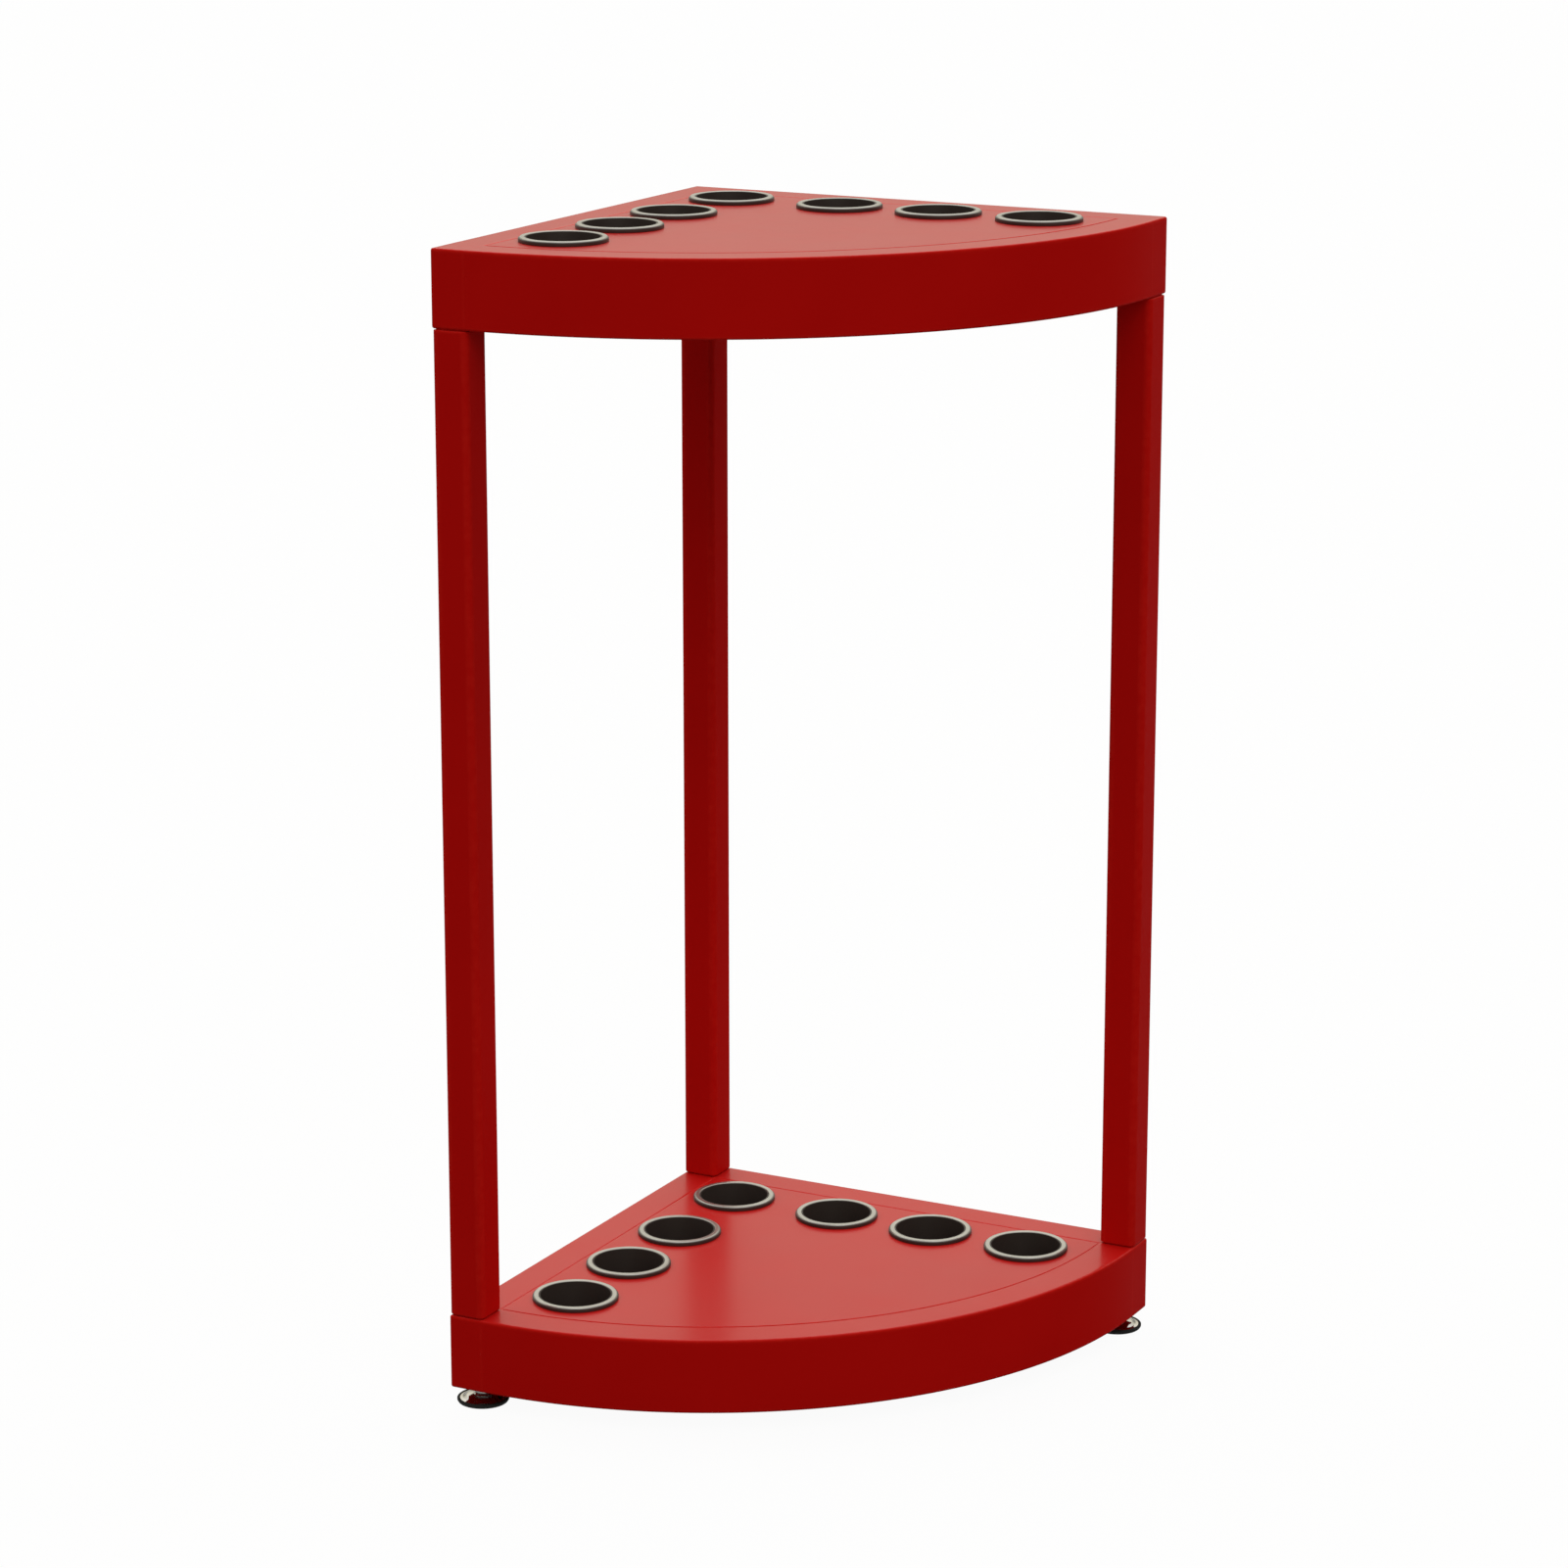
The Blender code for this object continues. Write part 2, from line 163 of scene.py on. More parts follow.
BOSS_HEIGHT = 0.0011
BOSS_EDGE = 0.0008
CROWN_RADIUS = 0.0130           # where the dish starts to fall away
CROWN_DROP = 0.0017
CROWN_EDGE = 0.0040
DISH_FLARE = 0.0024             # hollow curve in to the dish's edge
PIN_RADIUS = 0.003              # lower end of the screw, which turns in the dish
SCREW_RADIUS = 0.004
SCREW_TIP = 0.0006
SCREW_TIP_INSET = 0.0012
STUD_CLEAR = 0.0005             # round the screw where it passes through the tube
PITCH = 0.00125
THREAD_DEPTH = 0.00068
THREAD_FLANK = 2.6              # steepness of the thread's flanks
THREAD_ROOT = 0.8               # width of the thread's root against that
HEX_FLATS = 0.013
HEX_LIFT = 0.0003               # above the dish
HEX_HEIGHT = 0.0045
HEX_LEVELS = (0.0, 0.08, 0.16, 0.24, 0.32, 0.68, 0.76, 0.84, 0.92, 1.0)
HEX_FACE = 0.985                # round face of the hexagon, as a share of its flats
HEX_SLOPE = 2.2                 # of its corners, turned down to that face

# Smoothness
CORNER_STEPS = 6
EASE_STEPS = 4
FILLET_STEPS = 4
FRONT_STEPS = 96
HOLE_STEPS = 72
FOOT_STEPS = 72
THREAD_ROWS = 8                 # rows of points in each turn of the thread
THREAD_STEPS = 40
HEX_SHARE = 3                   # points round the hexagon for each point round the thread
HEX_STEPS = HEX_SHARE * THREAD_STEPS
QUARTER = math.pi / 2
SMOOTH_ANGLE = math.radians(35)
EDGE_ANGLE = math.radians(6)    # faces that meet at more than this make an edge for wear

DECKS = ("upper", "lower")
CORNERS = ("back", "left", "right")
HOLES = range(1, 8)


# Sizes and places, taken from the frame

def span(node):
    """Lowest corner, highest corner, middle and size of a frame node."""
    low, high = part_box(node)
    return low, high, (low + high) / 2, high - low


WALL_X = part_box("upper_back_rail")[0].x
WALL_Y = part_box("upper_back_rail")[1].y
SIDE, TUBE_WIDTH, TUBE_HEIGHT = span("upper_back_rail")[3]
PANEL_RADIUS = SIDE - 2 * TUBE_WIDTH - PANEL_SEAM
HOLE_RADIUS = span("upper_liner_1")[3].x / 2 - FLANGE_REACH
CURVE_X = WALL_X + TUBE_WIDTH
CURVE_Y = WALL_Y - TUBE_WIDTH


# Mesh making

def tube_outline(width, height, radius):
    """Tube section about its middle as (across, up) points, with a point on the flat by each corner."""
    fade = min(FADE, FADE_SHARE * (min(width, height) - 2 * radius))
    points = []
    for turn, (side, level) in enumerate(((1, 1), (-1, 1), (-1, -1), (1, -1))):
        x, y = side * (width / 2 - radius), level * (height / 2 - radius)
        angles = [(turn + step / CORNER_STEPS) * QUARTER for step in range(CORNER_STEPS + 1)]
        arc = [(x + radius * math.cos(a), y + radius * math.sin(a)) for a in angles]
        first, last = angles[0], angles[-1]
        points.append((arc[0][0] + fade * math.sin(first), arc[0][1] - fade * math.cos(first)))
        points += arc
        points.append((arc[-1][0] - fade * math.sin(last), arc[-1][1] + fade * math.cos(last)))
    return points


def end_stations(ease):
    """Rounded end of a bar as (distance from the end, inset of the section) pairs, from the end in."""
    turns = [QUARTER * step / EASE_STEPS for step in range(EASE_STEPS + 1)]
    rounding = [(ease * (1 - math.sin(t)), ease * (1 - math.cos(t))) for t in reversed(turns)]
    return [(0.0, ease + FADE)] + rounding + [(ease + FADE, 0.0)]


def bar_stations(length, start_ease, end_ease, steps=1):
    """Stations of a whole bar, with even steps between its two rounded ends."""
    start = end_stations(start_ease)
    end = [(length - distance, inset) for distance, inset in reversed(end_stations(end_ease))]
    first, last = start[-1][0], end[0][0]
    between = [(first + (last - first) * step / steps, 0.0) for step in range(1, steps)]
    return start + between + end


def finish_mesh(name, bm):
    """Mesh with outward faces, smooth except at sharp edges, and an edge mask for wear."""
    bmesh.ops.recalc_face_normals(bm, faces=bm.faces)
    mask = bm.verts.layers.float.new("edge")
    for vert in bm.verts:
        bend = max((edge.calc_face_angle(0.0) for edge in vert.link_edges), default=0.0)
        vert[mask] = 1.0 if bend > EDGE_ANGLE else 0.0
    mesh = bpy.data.meshes.new(name)
    bm.to_mesh(mesh)
    bm.free()
    mesh.shade_smooth()
    mesh.set_sharp_from_angle(angle=SMOOTH_ANGLE)
    return mesh


def bridge(bm, first, second):
    """Band of faces between two loops with as many points."""
    for i, vert in enumerate(first):
        j = (i + 1) % len(first)
        bm.faces.new((vert, first[j], second[j], second[i]))


def chain(bm, rings):
    """Loops of points with a band of faces from each to the next."""
    loops = [[bm.verts.new(point) for point in ring] for ring in rings]
    for first, second in zip(loops, loops[1:]):
        bridge(bm, first, second)
    return loops


def skin(name, rings, wrap=False):
    """Closed body over a chain of point rings, capped at its ends or joined back to its start."""
    bm = bmesh.new()
    loops = chain(bm, rings)
    if wrap:
        bridge(bm, loops[-1], loops[0])
    else:
        bm.faces.new(loops[0])
        bm.faces.new(loops[-1])
    return finish_mesh(name, bm)


def swept(name, stations, width, height, corner, place):
    """Bar with rounded ends whose section follows place(distance, across, up)."""
    rings = []
    for distance, inset in stations:
        radius = max(corner - inset, corner * LEAST_CORNER)
        outline = tube_outline(width - 2 * inset, height - 2 * inset, radius)
        rings.append([place(distance, across, up) for across, up in outline])
    return skin(name, rings)


def fillet(corners, wrap):
    """(radius, height) points of a profile given as (radius, height, rounding) corners."""
    out = []
    for i, (x, z, rounding) in enumerate(corners):
        ends = not wrap and i in (0, len(corners) - 1)
        if ends or not rounding:
            out.append((x, z))
            continue
        corner = Vector((x, z))
        before = Vector(corners[i - 1][:2]) - corner
        after = Vector(corners[(i + 1) % len(corners)][:2]) - corner
        half = before.angle(after) / 2
        reach = rounding / math.tan(half)
        start = corner + before.normalized() * reach
        stop = corner + after.normalized() * reach
        inward = (before.normalized() + after.normalized()).normalized()
        middle = corner + inward * rounding / math.sin(half)
        for step in range(FILLET_STEPS + 1):
            spoke = (start - middle).lerp(stop - middle, step / FILLET_STEPS)
            out.append(tuple(middle + spoke.normalized() * rounding))
    return out


def circle(radius, z, steps):
    """Points of a level circle round the Z axis."""
    turns = [2 * math.pi * i / steps for i in range(steps)]
    return [(radius * math.cos(t), radius * math.sin(t), z) for t in turns]


def turned(name, profile, steps, wrap=False):
    """Turned body from (radius, height, rounding) corners."""
    return skin(name, [circle(radius, z, steps) for radius, z in fillet(profile, wrap)], wrap)


def piece(name, mesh, body, finish, nodes, location=(0, 0, 0)):
    """Puts a mesh in the stand: on its body, in its finish, for the frame nodes that it stands for."""
    item = bpy.data.objects.new(name, mesh)
    bpy.context.scene.collection.objects.link(item)
    item.location = location
    if not mesh.materials:
        mesh.materials.append(finish)
    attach(item, body)
    if nodes:
        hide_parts(*nodes)


def carved(mesh, *cutters):
    """The mesh with the cutters taken out of it."""
    block = bpy.data.objects.new("block", mesh)
    bpy.context.scene.collection.objects.link(block)
    tools = []
    for cutter in cutters:
        tool = bpy.data.objects.new("tool", cutter)
        bpy.context.scene.collection.objects.link(tool)
        tools.append(tool)
        cut = block.modifiers.new("cut", "BOOLEAN")
        cut.operation = "DIFFERENCE"
        cut.solver = "EXACT"
        cut.object = tool
    graph = bpy.context.evaluated_depsgraph_get()
    result = bpy.data.meshes.new_from_object(block.evaluated_get(graph))
    result.name = mesh.name
    for item in [block] + tools:
        bpy.data.objects.remove(item)
    result.set_sharp_from_angle(angle=SMOOTH_ANGLE)
    return result


# Finishes

class Signal:
    """A value or colour on its way through a finish; arithmetic on it adds the nodes that do the sum."""

    def __init__(self, finish, socket):
        self.finish = finish
        self.socket = socket

    def maths(self, operation, first, second):
        return self.finish.node("ShaderNodeMath", {"operation": operation}, {0: first, 1: second})

    def __add__(self, other):
        return self.maths("ADD", self, other)

    def __sub__(self, other):
        return self.maths("SUBTRACT", self, other)

    def __rsub__(self, other):
        return self.maths("SUBTRACT", other, self)

    def __mul__(self, other):
        return self.maths("MULTIPLY", self, other)

    def __pow__(self, other):
        return self.maths("POWER", self, other)

    __radd__ = __add__
    __rmul__ = __mul__


class Finish:
    """A material or the world's light, built from nodes."""

    def __init__(self, owner):
        owner.use_nodes = True
        self.owner = owner
        self.tree = owner.node_tree
        self.tree.nodes.clear()

    def node(self, kind, settings=None, inputs=None, output=0):
        """One node: its type, its settings, then the values or links of its sockets."""
        made = self.tree.nodes.new(kind)
        for name, value in (settings or {}).items():
            if name == "stops":
                set_stops(made.color_ramp, value)
            else:
                setattr(made, name, value)
        for key, value in (inputs or {}).items():
            if isinstance(value, Signal):
                self.tree.links.new(value.socket, made.inputs[key])
            else:
                made.inputs[key].default_value = value
        return Signal(self, made.outputs[output]) if made.outputs else None

    def outputs(self, signal, names):
        """Several outputs of the node that a signal comes from."""
        return [Signal(self, signal.socket.node.outputs[name]) for name in names]

    def axes(self, vector):
        """X, Y and Z of a vector."""
        return self.outputs(self.node("ShaderNodeSeparateXYZ", None, {0: vector}), "XYZ")

    def place(self):
        """Position on the piece, in metres."""
        return self.node("ShaderNodeTexCoord", output="Object")

    def noise(self, place, size, detail=2.0, rough=0.5):
        """Soft random pattern from 0 to 1 with patches about one size across."""
        inputs = {"Vector": place, "Scale": 1 / size, "Detail": detail, "Roughness": rough}
        return self.node("ShaderNodeTexNoise", None, inputs)

    def span(self, value, low, high, to_low=0.0, to_high=1.0):
        """A value between two limits, carried over to two others."""
        inputs = {"Value": value, "From Min": low, "From Max": high, "To Min": to_low, "To Max": to_high}
        return self.node("ShaderNodeMapRange", {"clamp": True}, inputs)

    def blend(self, share, first, second):
        """Colour between two others."""
        inputs = {0: share, 6: first, 7: second}
        return self.node("ShaderNodeMix", {"data_type": "RGBA"}, inputs, output=2)

    def edge(self):
        """1 on the rounded edges of a piece."""
        return self.node("ShaderNodeAttribute", {"attribute_name": "edge"}, output="Fac")

    def facing_up(self):
        """1 on faces that look straight up, 0 on upright ones."""
        normal = self.node("ShaderNodeNewGeometry", output="Normal")
        return self.node("ShaderNodeSeparateXYZ", None, {0: normal}, output="Z")

    def bump(self, height, distance, strength):
        """Normal of a surface with this height, at most a distance in metres."""
        inputs = {"Height": height, "Distance": distance, "Strength": strength}
        return self.node("ShaderNodeBump", None, inputs)

    def surface(self, shader):
        self.node("ShaderNodeOutputMaterial", None, {"Surface": shader})
        return self.owner


def set_stops(ramp, stops):
    """Puts (position, colour) stops in a colour ramp, which starts with two."""
    while len(ramp.elements) < len(stops):
        ramp.elements.new(1.0)
    for element, (position, colour) in zip(ramp.elements, stops):
        element.position = position
        element.color = colour


def rgb(red, green, blue):
    return (red, green, blue, 1.0)


def grey(level):
    return rgb(level, level, level)


def red_paint():
    """Red powder coat: slight orange peel, thinner on the edges, and a painted sheen: faces that look up
    get a glossy coat and upright faces almost no reflection, chosen by the way each face looks, so that
    the tops show a pale reflection and the sides stay deep red.
    """
    paint = Finish(bpy.data.materials.new("red_powder_coat"))
    place = paint.place()
    cloud = paint.noise(place, size=0.09, detail=3.0)
    peel = paint.noise(place, size=0.0028)
    grain = paint.noise(place, size=0.0006, detail=1.0)
    patches = paint.noise(place, size=0.006, detail=3.0)
    wiped = paint.noise(place, size=0.03, detail=4.0)
    tone = paint.blend(cloud, rgb(0.515, 0.0041, 0.0031), rgb(0.575, 0.0056, 0.0041))
    thin = paint.edge() * paint.span(patches, 0.35, 0.7, 0.15, 0.6)
    look = {
        "Base Color": paint.blend(thin, tone, rgb(0.62, 0.012, 0.008)),
        "Normal": paint.bump(peel * 0.8 + grain * 0.2, distance=0.00002, strength=0.3),
    }
    # Painted shade and sheen: upright faces get a copy of the paint that reflects almost nothing, and
    # faces that look up get a copy with a glossy coat
    sides = paint.node("ShaderNodeBsdfPrincipled", None, {
        **look,
        "Roughness": 0.40 + cloud * 0.08 + grain * 0.06,
        "IOR": 1.05,
    })
    tops = paint.node("ShaderNodeBsdfPrincipled", None, {
        **look,
        "Roughness": 0.46 + cloud * 0.08,
        "IOR": 1.22,
        "Coat Weight": paint.span(wiped, 0.2, 0.8, 0.85, 1.0),
        "Coat IOR": 1.16,
        "Coat Roughness": 0.22,
    })
    # Which copy a face gets depends only on how far it looks up: painted sheen on the tops
    painted_sheen_share = paint.span(paint.facing_up(), 0.5, 0.95)
    return paint.surface(paint.node("ShaderNodeMixShader", None, {0: painted_sheen_share, 1: sides, 2: tops}))


def black_plastic():
    """Moulded black plastic with a fine spark-eroded grain, polished a little on its edges."""
    plastic = Finish(bpy.data.materials.new("moulded_black"))
    place = plastic.place()
    grain = plastic.noise(place, size=0.0007, detail=3.0, rough=0.6)
    cloud = plastic.noise(place, size=0.02)
    tone = plastic.blend(cloud, rgb(0.031, 0.0220, 0.0190), rgb(0.044, 0.0315, 0.0275))
    shader = plastic.node("ShaderNodeBsdfPrincipled", None, {
        "Base Color": tone,
        "Roughness": 0.46 + grain * 0.12 - plastic.edge() * 0.12,
        "IOR": 1.46,
        "Normal": plastic.bump(grain, distance=0.00003, strength=0.6),
    })
    return plastic.surface(shader)


def satin_metal():
    """Satin trim, turned on a lathe: fine rings of brush marks about its own axis."""
    metal = Finish(bpy.data.materials.new("satin_turned_metal"))
    place = metal.place()
    x, y, z = metal.axes(place)
    across, along = 6000.0, 1.5         # brush marks to a metre across them, and to a radian along them
    radius = (x * x + y * y) ** 0.5
    turn = metal.node("ShaderNodeMath", {"operation": "ARCTAN2"}, {0: y, 1: x})
    line = metal.node("ShaderNodeCombineXYZ", None, {0: radius * across, 1: z * across, 2: turn * along})
    marks = metal.noise(line, size=1.0, detail=3.0)
    smear = metal.noise(place, size=0.012, detail=3.0)
    shader = metal.node("ShaderNodeBsdfPrincipled", None, {
        "Base Color": metal.blend(smear, rgb(0.37, 0.365, 0.34), rgb(0.47, 0.465, 0.43)),
        "Metallic": 1.0,
        "Roughness": 0.26 + marks * 0.16 + smear * 0.06,
        "Normal": metal.bump(marks, distance=0.000004, strength=0.6),
    })
    return metal.surface(shader)


def zinc_steel():
    """Zinc-plated screw: pale grey and mottled."""
    zinc = Finish(bpy.data.materials.new("zinc_plated_steel"))
    place = zinc.place()
    mottle = zinc.noise(place, size=0.002, detail=4.0, rough=0.6)
    haze = zinc.noise(place, size=0.009)
    shader = zinc.node("ShaderNodeBsdfPrincipled", None, {
        "Base Color": zinc.blend(mottle, grey(0.34), rgb(0.48, 0.48, 0.47)),
        "Metallic": 1.0,
        "Roughness": 0.24 + mottle * 0.16 + haze * 0.1,
        "Normal": zinc.bump(mottle, distance=0.000008, strength=0.5),
    })
    return zinc.surface(shader)


def bright_plate():
    """Bright plated steel, with a faint bloom of handling marks."""
    plate = Finish(bpy.data.materials.new("bright_plated_steel"))
    place = plate.place()
    bloom = plate.noise(place, size=0.004, detail=4.0, rough=0.55)
    ripple = plate.noise(place, size=0.003, detail=1.0)
    shader = plate.node("ShaderNodeBsdfPrincipled", None, {
        "Base Color": plate.blend(bloom, rgb(0.46, 0.45, 0.43), rgb(0.56, 0.55, 0.53)),
        "Metallic": 1.0,
        "Roughness": 0.05 + plate.span(bloom, 0.45, 0.75) * 0.12,
        "Normal": plate.bump(ripple, distance=0.000006, strength=0.4),
    })
    return plate.surface(shader)


def black_rubber():
    """Black rubber, matt, greyer where it rubs."""
    rubber = Finish(bpy.data.materials.new("black_rubber_sole"))
    place = rubber.place()
    grain = rubber.noise(place, size=0.0005, detail=4.0, rough=0.65)
    patches = rubber.noise(place, size=0.003, detail=3.0)
    scuff = rubber.edge() * rubber.span(patches, 0.4, 0.7)
    shader = rubber.node("ShaderNodeBsdfPrincipled", None, {
        "Base Color": rubber.blend(scuff, grey(0.008), rgb(0.022, 0.021, 0.020)),
        "Roughness": 0.76 + grain * 0.15,
        "IOR": 1.32,
        "Normal": rubber.bump(grain, distance=0.00004, strength=0.6),
    })
    return rubber.surface(shader)


# Decks

def deck_tubes(level, paint):
    """Back and side tubes and the rolled front tube that butts between them."""
    low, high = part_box(f"{level}_back_rail")
    centre = (low.z + high.z) / 2
    section = (TUBE_WIDTH, TUBE_HEIGHT, TUBE_CORNER)
    inner = (TUBE_WIDTH - 2 * TUBE_WALL, TUBE_HEIGHT - 2 * TUBE_WALL, TUBE_INNER_CORNER)
    side_length = SIDE - TUBE_WIDTH + WELD
    bend = SIDE - TUBE_WIDTH - TUBE_WIDTH / 2
    arc = bend * QUARTER

    def along_back(distance, across, up):
        return WALL_X + distance, WALL_Y - TUBE_WIDTH / 2 + across, centre + up

    def along_side(distance, across, up):
        return WALL_X + TUBE_WIDTH / 2 + across, CURVE_Y + WELD - distance, centre + up

    def along_front(distance, across, up):
        rolled = min(max(distance - WELD, 0.0), arc)
        straight = distance - WELD - rolled
        ahead, aside = math.cos(rolled / bend), math.sin(rolled / bend)
        radius = bend + across
        x = CURVE_X + radius * ahead - straight * aside
        y = CURVE_Y - radius * aside - straight * ahead
        return x, y, centre + up

    def hollow(length, along):
        return swept("hollow", [(TUBE_WALL, 0.0), (length - TUBE_WALL, 0.0)], *inner, along)

    back = swept(f"{level}_back_tube", bar_stations(SIDE, CAP_EASE, CAP_EASE), *section, along_back)
    stations = bar_stations(side_length, BUTT_EASE, CAP_EASE)
    side = swept(f"{level}_side_tube", stations, *section, along_side)
    stations = bar_stations(arc + 2 * WELD, BUTT_EASE, BUTT_EASE, FRONT_STEPS)
    front = swept(f"{level}_front_tube", stations, *section, along_front)
    back_cuts = [hollow(SIDE, along_back)]
    side_cuts = [hollow(side_length, along_side)]
    if level == "lower":
        for corner, cuts in (("back", back_cuts), ("right", back_cuts), ("left", side_cuts)):
            cuts.append(stud_hole(span(f"{corner}_foot_stud")[2], low.z))
    back = carved(back, *back_cuts)
    side = carved(side, *side_cuts)
    for name, mesh in (("back", back), ("side", side), ("front", front)):
        piece(f"{level}_{name}_tube", mesh, "frame", paint, [f"{level}_{name}_rail"])


def stud_hole(axis, bottom):
    """Cutter for a hole through the lower wall of a tube, round a foot's stud."""
    radius = SCREW_RADIUS + STUD_CLEAR
    rings = [circle(radius, bottom + level, FOOT_STEPS) for level in (-TUBE_WALL, 2 * TUBE_WALL)]
    return skin("hole", [[(axis.x + x, axis.y + y, z) for x, y, z in ring] for ring in rings])


def deck_bars(level, paint):
    """Flat bars on edge inside the tubes, which carry the sheet."""
    for side in ("back", "side"):
        low, high, middle, size = span(f"{level}_{side}_ledge")
        along_x = side == "back"
        length, width = (size.x, size.y) if along_x else (size.y, size.x)

        def along(distance, across, up):
            if along_x:
                return low.x + distance, middle.y + across, middle.z + up
            return middle.x + across, high.y - distance, middle.z + up

        stations = bar_stations(length, BAR_EASE, BAR_EASE)
        mesh = swept(f"{level}_{side}_bar", stations, width, size.z, BAR_EASE, along)
        piece(f"{level}_{side}_bar", mesh, "frame", paint, [f"{level}_{side}_ledge"])

    _, high, middle, size = span(f"{level}_front_ledge")
    width = span(f"{level}_back_ledge")[3].y
    bend = high.x - CURVE_X - width / 2
    gap = CURVE_Y - high.y

    def along_front(distance, across, up):
        angle = (gap + distance) / bend
        radius = bend + across
        return CURVE_X + radius * math.cos(angle), CURVE_Y - radius * math.sin(angle), middle.z + up

    stations = bar_stations(bend * QUARTER - 2 * gap, BAR_EASE, BAR_EASE, FRONT_STEPS)
    mesh = swept(f"{level}_front_bar", stations, width, size.z, BAR_EASE, along_front)
    piece(f"{level}_front_bar", mesh, "frame", paint, [f"{level}_front_ledge"])


def sheet_outline(inset):
    """Outline of a deck's sheet, drawn in by an inset."""
    edge = PANEL_SEAM + inset
    radius = PANEL_RADIUS - inset
    margin = math.asin(edge / radius)
    angles = [margin + (QUARTER - 2 * margin) * i / FRONT_STEPS for i in range(FRONT_STEPS + 1)]
    front = [(CURVE_X + radius * math.cos(a), CURVE_Y - radius * math.sin(a)) for a in angles]
    return [(CURVE_X + edge, CURVE_Y - edge)] + front


def hole_outline(centre):
    """Outline of a hole in the sheet, widened by an inset."""
    def outline(inset):
        return [(centre.x + x, centre.y + y) for x, y, z in circle(HOLE_RADIUS + inset, 0, HOLE_STEPS)]
    return outline


def rounded_edge(top, bottom):
    """Rounded edge of a sheet as (inset, height) pairs, from its top face round to its bottom face."""
    turns = [QUARTER * step / EASE_STEPS for step in range(EASE_STEPS + 1)]
    upper = [(SHEET_EASE * (1 - math.sin(t)), top - SHEET_EASE * (1 - math.cos(t))) for t in turns]
    lower = [(inset, bottom + top - z) for inset, z in reversed(upper)]
    return [(SHEET_EASE + FADE, top)] + upper + lower + [(SHEET_EASE + FADE, bottom)]


def deck_sheet(level, paint):
    """Sheet set flush in the tubes, with a hole for each liner, and the paint that fills its seam."""
    low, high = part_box(f"{level}_panel")
    liner = "upper_liner" if level == "upper" else "lower_cup"
    outlines = [sheet_outline] + [hole_outline(span(f"{liner}_{number}")[2]) for number in HOLES]
    levels = rounded_edge(high.z, low.z)
    bm = bmesh.new()
    faces = ([], [])
    for outline in outlines:
        loops = chain(bm, [[(x, y, z) for x, y in outline(inset)] for inset, z in levels])
        for face, loop in zip(faces, (loops[0], loops[-1])):
            face += [bm.edges.get((vert, loop[(i + 1) % len(loop)])) for i, vert in enumerate(loop)]
    for face in faces:
        bmesh.ops.triangle_fill(bm, use_beauty=True, edges=face)
    mesh = finish_mesh(f"{level}_sheet", bm)
    piece(f"{level}_sheet", mesh, "frame", paint, [f"{level}_panel"])
    top = high.z - SEAM_DEPTH
    bottom = top - SEAM_PAINT
    corners = ((-SEAM_OUT, top), (SEAM_IN, top), (SEAM_IN, bottom), (-SEAM_OUT, bottom))
    rings = [[(x, y, z) for x, y in sheet_outline(inset)] for inset, z in corners]
    piece(f"{level}_seam", skin(f"{level}_seam", rings, wrap=True), "frame", paint, [])


# Sleeves, cups and trim rings

def liner_profile(low, high, floor):
    """Section of a sleeve, or of a cup when it has a floor, with heights from the deck's top face."""
    lip = BORE_RADIUS + LIP_WALL
    flange = HOLE_RADIUS + FLANGE_REACH
    outside = [
        (BORE_RADIUS, high, FINE_EDGE),
        (lip, high, FINE_EDGE),
        (lip, FLANGE_TOP, 0.0),
        (flange, FLANGE_TOP, FLANGE_EDGE),
        (flange, SEAT, FINE_EDGE),
        (LINER_RADIUS, SEAT, 0.0),
        (LINER_RADIUS - LINER_DRAFT, low, LINER_EDGE),
    ]
    if floor is None:
        return outside + [(BORE_RADIUS, low, LINER_EDGE)]
    inside = [(CUP_CENTRE, floor, 0.0)]
    for radius in CUP_RIBS:
        inside += [
            (radius, floor, RIB_FOOT),
            (radius + RIB, floor + RIB, RIB_CREST),
            (radius + 2 * RIB, floor, RIB_FOOT),
        ]
    inside.append((BORE_RADIUS - LINER_DRAFT, floor, CUP_FILLET))
    return inside + outside + [(CUP_CENTRE, low, 0.0)]


def ring_profile(outer, crown):
    """Section of a trim ring, on its flange and round its lip, with heights from the deck's top face."""
    inner = BORE_RADIUS + LIP_WALL + RING_CLEAR
    foot = FLANGE_TOP + SEAT
    return [
        (inner, foot, 0.0),
        (outer, foot, RING_FOOT_EDGE),
        (outer - RING_RIM_LEAN, foot + RING_RIM, RING_RIM_EDGE),
        (outer - RING_LEAN, crown, CROWN_OUTER_EDGE),
        (inner, crown, CROWN_INNER_EDGE),
    ]


def sockets(plastic, metal):
    """A sleeve in each upper hole and a cup in each lower hole, with a trim ring on each flange."""
    for level, node, name in (
        ("upper", "upper_liner", "upper_sleeve"),
        ("lower", "lower_cup", "lower_cup_liner"),
    ):
        deck_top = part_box(f"{level}_panel")[1].z
        low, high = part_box(f"{node}_1")
        floor = low.z - deck_top + CUP_FLOOR if level == "lower" else None
        profile = liner_profile(low.z - deck_top, high.z - deck_top - RING_DROP, floor)
        liner = turned(name, profile, HOLE_STEPS, wrap=floor is None)
        _, ring_high, _, ring_size = span(f"{level}_ring_1")
        profile = ring_profile(ring_size.x / 2 - RING_INSET, ring_high.z - deck_top - RING_DROP)
        ring = turned(f"{level}_trim", profile, HOLE_STEPS, wrap=True)
        for number in HOLES:
            liner_node, ring_node = f"{node}_{number}", f"{level}_ring_{number}"
            centre = span(liner_node)[2]
            place = (centre.x, centre.y, deck_top)
            piece(f"{name}_{number}", liner, "frame", plastic, [liner_node], place)
            piece(f"{level}_trim_{number}", ring, "frame", metal, [ring_node], place)


# Uprights

